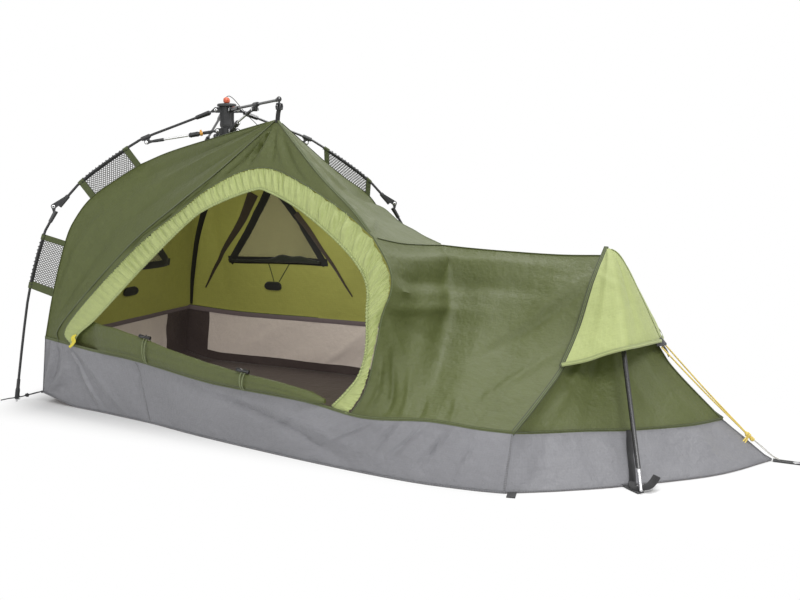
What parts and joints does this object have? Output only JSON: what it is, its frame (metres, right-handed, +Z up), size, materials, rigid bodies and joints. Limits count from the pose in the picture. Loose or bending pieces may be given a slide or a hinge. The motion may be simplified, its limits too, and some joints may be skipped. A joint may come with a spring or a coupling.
{
  "type": "one-person tent",
  "caption": "One-person tent with a folding umbrella frame over its head end, a side door and a low pointed foot on a two-pole frame.",
  "frame": {"origin": "middle of the floor's underside, on the ground", "axes": "+X towards the pointed foot, +Y away from the door side, +Z up"},
  "size_m": [2.5171, 1.0867, 1.0347],
  "materials": {
    "olive_cloth": "coated woven polyester, semi matt",
    "light_green_cloth": "thin woven polyester",
    "grey_tub_cloth": "heavy coated cloth, slight sheen",
    "brown_floor_cloth": "coated floor cloth",
    "black_mesh": "fine insect mesh",
    "pale_net": "coarse net",
    "black_plastic": "moulded, fine texture",
    "black_pole": "wrapped fibre rod, gloss",
    "steel": "plated rod",
    "orange_plastic": "moulded",
    "amber_plastic": "moulded",
    "black_webbing": "woven tape and cord",
    "yellow_cord": "braided cord"
  },
  "bodies": {
    "tent_body": {"tub_floor": "brown_floor_cloth", "tub_near": "grey_tub_cloth", "tub_far": "grey_tub_cloth", "tub_head": "grey_tub_cloth", "tub_foot": "grey_tub_cloth", "foot_strap": "black_webbing", "head_wall": "olive_cloth", "far_wall": "olive_cloth", "crown": "olive_cloth", "door_surround": "olive_cloth", "front_panel": "olive_cloth", "far_roof": "olive_cloth", "foot_end_near": "olive_cloth", "foot_end_far": "olive_cloth", "head_window_mesh": "black_mesh", "far_window_mesh": "black_mesh", "head_hood": "olive_cloth", "far_hood": "olive_cloth", "foot_hood": "light_green_cloth", "door_band": "light_green_cloth", "door_roll": "olive_cloth", "cord_lock_left": "black_plastic", "cord_lock_right": "black_plastic", "leg_1_net_upper": "pale_net", "leg_1_net_lower": "pale_net", "leg_2_net_upper": "pale_net", "leg_2_net_lower": "pale_net", "leg_3_net_upper": "pale_net", "leg_3_net_lower": "pale_net", "peak_strap": "black_webbing", "guyline": "yellow_cord", "leg_1_corner_cord": "black_webbing", "leg_2_corner_cord": "black_webbing", "leg_3_corner_cord": "black_webbing"},
    "frame_hub": {"upper_hub": "black_plastic"},
    "lower_hub": {"lower_hub": "black_plastic"},
    "release_knob": {"release_knob": "orange_plastic", "release_cord": "black_webbing"},
    "front_arm": {"front_arm": "black_pole", "front_arm_bracket": "black_plastic"},
    "front_strut": {"front_arm_strut": "steel"},
    "foot_frame": {"foot_pole_near": "black_pole", "foot_pole_far": "black_pole", "foot_apex_joint": "black_plastic"},
    "leg_1_upper": {"leg_1_upper_pole": "black_pole", "leg_1_bracket": "black_plastic", "leg_1_elbow_fork": "black_plastic"},
    "leg_1_lower": {"leg_1_lower_pole": "black_pole"},
    "leg_1_strut": {"leg_1_strut": "steel", "strut_clip": "amber_plastic"},
    "leg_2_upper": {"leg_2_upper_pole": "black_pole", "leg_2_bracket": "black_plastic", "leg_2_elbow_fork": "black_plastic"},
    "leg_2_lower": {"leg_2_lower_pole": "black_pole"},
    "leg_2_strut": {"leg_2_strut": "steel"},
    "leg_3_upper": {"leg_3_upper_pole": "black_pole", "leg_3_bracket": "black_plastic", "leg_3_elbow_fork": "black_plastic"},
    "leg_3_lower": {"leg_3_lower_pole": "black_pole"},
    "leg_3_strut": {"leg_3_strut": "steel"}
  },
  "joints": [
    {"name": "frame_fold", "type": "slide", "parent": "tent_body", "child": "frame_hub", "axis": [0, 0, -1], "range_m": [0, 0.3], "deforming": ["head_wall", "far_wall", "crown", "door_surround", "front_panel", "far_roof", "foot_end_near", "foot_end_far", "head_window_mesh", "far_window_mesh", "head_hood", "far_hood", "foot_hood", "door_band", "door_roll", "cord_lock_left", "cord_lock_right", "leg_1_net_upper", "leg_1_net_lower", "leg_2_net_upper", "leg_2_net_lower", "leg_3_net_upper", "leg_3_net_lower", "peak_strap", "guyline", "leg_1_corner_cord", "leg_2_corner_cord", "leg_3_corner_cord"]},
    {"name": "lower_hub_slide", "type": "slide", "parent": "frame_hub", "child": "lower_hub", "axis": [0, 0, -1], "range_m": [0, 0.3751]},
    {"name": "leg_1_fold", "type": "hinge", "parent": "frame_hub", "child": "leg_1_upper", "pos_m": [-0.50738, -0.02112, 0.988], "axis": [0.5707, -0.8211, 0], "range_deg": [0, 40.73]},
    {"name": "leg_1_elbow", "type": "hinge", "parent": "leg_1_upper", "child": "leg_1_lower", "pos_m": [-0.9513, -0.32964, 0.6677], "axis": [-0.5707, 0.8211, 0], "range_deg": [0, 195.02]},
    {"name": "leg_1_strut_swing", "type": "hinge", "parent": "lower_hub", "child": "leg_1_strut", "pos_m": [-0.50492, -0.0194, 0.918], "axis": [-0.5707, 0.8211, 0], "range_deg": [0, 72.67]},
    {"name": "leg_2_fold", "type": "hinge", "parent": "frame_hub", "child": "leg_2_upper", "pos_m": [-0.44662, 0.02112, 0.988], "axis": [-0.5707, 0.8211, 0], "range_deg": [0, 40.73]},
    {"name": "leg_2_elbow", "type": "hinge", "parent": "leg_2_upper", "child": "leg_2_lower", "pos_m": [-0.0027, 0.32964, 0.6677], "axis": [0.5707, -0.8211, 0], "range_deg": [0, 195.02]},
    {"name": "leg_2_strut_swing", "type": "hinge", "parent": "lower_hub", "child": "leg_2_strut", "pos_m": [-0.44908, 0.0194, 0.918], "axis": [0.5707, -0.8211, 0], "range_deg": [0, 72.67]},
    {"name": "leg_3_fold", "type": "hinge", "parent": "frame_hub", "child": "leg_3_upper", "pos_m": [-0.50575, 0.02329, 0.988], "axis": [-0.6293, -0.7771, 0], "range_deg": [0, 40.73]},
    {"name": "leg_3_elbow", "type": "hinge", "parent": "leg_3_upper", "child": "leg_3_lower", "pos_m": [-0.92588, 0.3635, 0.6677], "axis": [0.6293, 0.7771, 0], "range_deg": [0, 195.02]},
    {"name": "leg_3_strut_swing", "type": "hinge", "parent": "lower_hub", "child": "leg_3_strut", "pos_m": [-0.50342, 0.0214, 0.918], "axis": [0.6293, 0.7771, 0], "range_deg": [0, 72.67]},
    {"name": "front_arm_fold", "type": "hinge", "parent": "frame_hub", "child": "front_arm", "pos_m": [-0.44662, -0.02112, 0.988], "axis": [0.5707, 0.8211, 0], "range_deg": [0, 72.52]},
    {"name": "front_strut_swing", "type": "hinge", "parent": "lower_hub", "child": "front_strut", "pos_m": [-0.44908, -0.0194, 0.918], "axis": [-0.5707, -0.8211, 0], "range_deg": [0, 59.79]},
    {"name": "foot_frame_fold", "type": "hinge", "parent": "tent_body", "child": "foot_frame", "pos_m": [1.011, 0, 0.0085], "axis": [0, 1, 0], "range_deg": [0, 106.5]},
    {"name": "release_knob_lift", "type": "slide", "parent": "frame_hub", "child": "release_knob", "axis": [0, 0, 1], "range_m": [0, 0.01], "stiffness_N_per_m": 400, "springref_m": -0.002}
  ],
  "couplings": [
    {"joint": "lower_hub_slide", "follows": "frame_fold", "ratio": 1.25},
    {"joint": "leg_1_fold", "follows": "frame_fold", "rad_per_m": 2.3682},
    {"joint": "leg_1_elbow", "follows": "frame_fold", "rad_per_m": 11.345},
    {"joint": "leg_1_strut_swing", "follows": "frame_fold", "rad_per_m": 4.2264},
    {"joint": "leg_2_fold", "follows": "frame_fold", "rad_per_m": 2.3682},
    {"joint": "leg_2_elbow", "follows": "frame_fold", "rad_per_m": 11.345},
    {"joint": "leg_2_strut_swing", "follows": "frame_fold", "rad_per_m": 4.2264},
    {"joint": "leg_3_fold", "follows": "frame_fold", "rad_per_m": 2.3682},
    {"joint": "leg_3_elbow", "follows": "frame_fold", "rad_per_m": 11.345},
    {"joint": "leg_3_strut_swing", "follows": "frame_fold", "rad_per_m": 4.2264},
    {"joint": "front_arm_fold", "follows": "frame_fold", "rad_per_m": 4.2178},
    {"joint": "front_strut_swing", "follows": "frame_fold", "rad_per_m": 3.4774}
  ]
}
